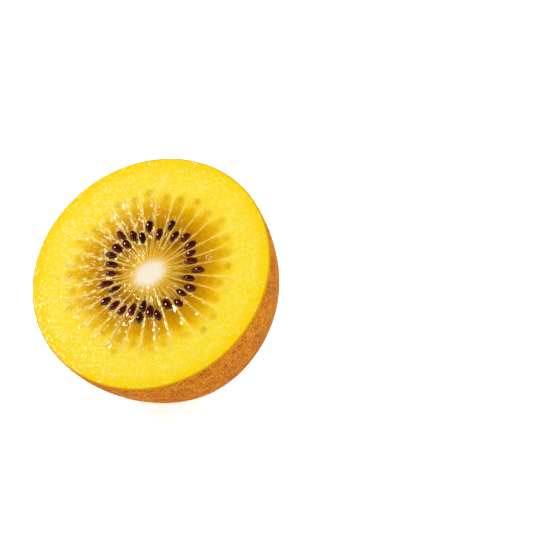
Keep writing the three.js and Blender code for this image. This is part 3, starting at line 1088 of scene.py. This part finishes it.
# %% [markdown]
# ## Finish of the juice and the fuzz
#
# The beads on the cut face are shreds of pulp in a skin of juice, so they are yellow and opaque
# with a wet coat. Clear drops would have to bend light, and in a bead a fifth of a millimetre
# high that would cost much and hardly show. The down on the skin is dry, tan and matt.

# %% Wet golden gel and dry down
SMALL_FINISHES = (
    (
        juice,
        "wet_golden_kiwi_gel",
        {"Scale": per_mm(0.5), "Detail": 1.0},
        ("#FAD444", "#FFEC94"),
        {"Roughness": 0.12, "IOR": 1.36, "Coat Weight": 1.0, "Coat Roughness": 0.03},
    ),
    (
        fuzz,
        "dry_kiwi_down",
        {"Scale": per_mm(4), "Detail": 2.0},
        ("#B06A14", "#DC9430"),
        {"Roughness": 0.7},
    ),
)
for piece, name, blotches, (first, second), surface in SMALL_FINISHES:
    material, tree = new_finish(name)
    where = add(tree, "TexCoord", {}).outputs["Object"]
    amount = add(tree, "TexNoise", {"Vector": where, **blotches}).outputs["Fac"]
    mix = {MIX: amount, A: srgb(first), B: srgb(second)}
    colour = add(tree, "Mix", mix, data_type="RGBA").outputs[MIXED]
    shader = add(tree, "BsdfPrincipled", {"Base Color": colour, **surface})
    add(tree, "OutputMaterial", {"Surface": shader.outputs[0]})
    piece.data.materials.append(material)
    print(material.name, "has", len(tree.nodes), "nodes")

# %% [markdown]
# ## What the pieces stand for
#
# All five pieces dress one solid, the half fruit, and nothing in it moves. So each of them stands
# for that solid and rides with its body, and the solid itself is hidden.

# %% Say what each piece stands for
for piece, slot in (
    (flesh, "flesh"),
    (skin, "skin"),
    (seed_piece, "seed"),
    (juice, "juice"),
    (fuzz, "fuzz"),
):
    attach(piece, "root")
    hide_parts("kiwi_half")
    print("piece", piece.name, "stands for the half fruit, with the slot", slot)

# %% [markdown]
# ## The floor and the room
#
# The fruit lies on white paper in a white room. Lamps alone would leave the paper grey, so it
# glows a little, and more to the camera than to the fruit. The room does the same. A Light Path
# node tells the two apart. That keeps the background white and lets a faint shadow show.

# %% White paper
bpy.ops.mesh.primitive_circle_add(vertices=64, radius=3, fill_type="NGON", location=(0, 0, -0.0001))
floor = bpy.context.object
floor.name = "floor"
material, tree = new_finish("white_paper_sweep")
where = add(tree, "TexCoord", {}).outputs["Object"]
tooth = add(tree, "TexNoise", {"Vector": where, "Scale": per_mm(2), "Detail": 2.0})
white = add(
    tree,
    "Mix",
    {MIX: tooth.outputs["Fac"], A: srgb("#E6E6E6"), B: srgb("#E9E9E9")},
    data_type="RGBA",
)
seen = add(tree, "LightPath", {}).outputs["Is Camera Ray"]
lit = add(tree, "MapRange", {"Value": seen, "To Min": 0.35, "To Max": 0.85}).outputs[0]
paper = add(
    tree,
    "BsdfPrincipled",
    {
        "Base Color": white.outputs[MIXED],
        "Roughness": 0.9,
        "Emission Color": (1, 1, 1, 1),
        "Emission Strength": lit,
    },
)
add(tree, "OutputMaterial", {"Surface": paper.outputs[0]})
floor.data.materials.append(material)

print(floor.name, "is", round(floor.dimensions.x, 1), "m across")

# %% White room
world = bpy.data.worlds.new("white_room")
bpy.context.scene.world = world
world.use_nodes = True
world.node_tree.nodes.clear()
ray = add(world.node_tree, "LightPath", {})
glow = add(
    world.node_tree,
    "MapRange",
    {"Value": ray.outputs["Is Camera Ray"], "To Min": 0.05, "To Max": 1.0},
)
room = add(world.node_tree, "Background", {"Color": (1, 1, 1, 1), "Strength": glow.outputs[0]})
add(world.node_tree, "OutputWorld", {"Surface": room.outputs[0]})
print(world.name, "has", len(world.node_tree.nodes), "nodes")

# %% [markdown]
# ## The camera
#
# The camera looks down at the fruit through a long lens, from a little to the right, and has it
# left of the middle of the frame. Where it stands follows from where the cut face shows in the
# picture: its point, its depth and the two angles that the lean leaves open.

# %% Camera
SENSOR, LENS = 36.0, 100.0
FRAME_PX = 533
FACE_PX = (149.7, 270.9)  # where the middle of the cut face shows
FACE_MIDDLE = (0.24, -0.18, 0)  # that point in the fruit's own frame, in mm
FACE_DEPTH = 305.5  # mm along the view
AZIMUTH, ELEVATION = math.radians(24.5), math.radians(25.9)

back = Vector((
    math.sin(AZIMUTH) * math.cos(ELEVATION),
    -math.cos(AZIMUTH) * math.cos(ELEVATION),
    math.sin(ELEVATION),
))
right = Vector((math.cos(AZIMUTH), math.sin(AZIMUTH), 0))
up = back.cross(right)
mm_per_px = FACE_DEPTH * SENSOR / LENS / FRAME_PX
aside = (FACE_PX[0] - FRAME_PX / 2) * mm_per_px * MM
above = (FRAME_PX / 2 - FACE_PX[1]) * mm_per_px * MM
middle = to_row @ Vector(FACE_MIDDLE)
camera = bpy.data.objects.new("camera", bpy.data.cameras.new("camera"))
camera.data.lens, camera.data.sensor_width = LENS, SENSOR
camera.location = middle + back * FACE_DEPTH * MM - right * aside - up * above
camera.rotation_euler = Matrix((right, up, back)).transposed().to_euler()
bpy.context.scene.collection.objects.link(camera)
bpy.context.scene.camera = camera
print("camera at", [round(x, 3) for x in camera.location])

# %% [markdown]
# ## The lamps
#
# A small bright softbox from the upper left gives the sharp glints. Two broad ones, from the
# upper right and from the right in front, fill the shadows. Glossy reflections don't see those
# two, because they would lay a pale veil over the wet face. Each lamp is placed as the camera
# sees the fruit.


# %% Softboxes
def softbox(name, aside, above, ahead, distance, size, watts, colour="#FFFFFF", glare=True):
    """A square lamp in a direction given to the camera's right, up and back."""
    light = bpy.data.lights.new(name, "AREA")
    light.size, light.energy = size, watts
    light.color = srgb(colour)[:3]
    lamp = bpy.data.objects.new(name, light)
    lamp.visible_glossy = glare
    direction = (right * aside + up * above + back * ahead).normalized()
    lamp.location = middle + direction * distance
    lamp.rotation_euler = direction.to_track_quat("Z", "Y").to_euler()
    bpy.context.scene.collection.objects.link(lamp)
    print(name, "gives", watts, "W from", distance, "m")


softbox("key", -0.8, 0.5, 0.33, 0.9, 0.12, 6.1, "#FFF5DE")
softbox("window", 0.6, 0.7, 0.4, 1.1, 0.8, 9.2, glare=False)
softbox("fill", 0.75, 0.0, 0.66, 1.3, 0.9, 2.8, glare=False)
bpy.context.scene.view_settings.view_transform = "Standard"
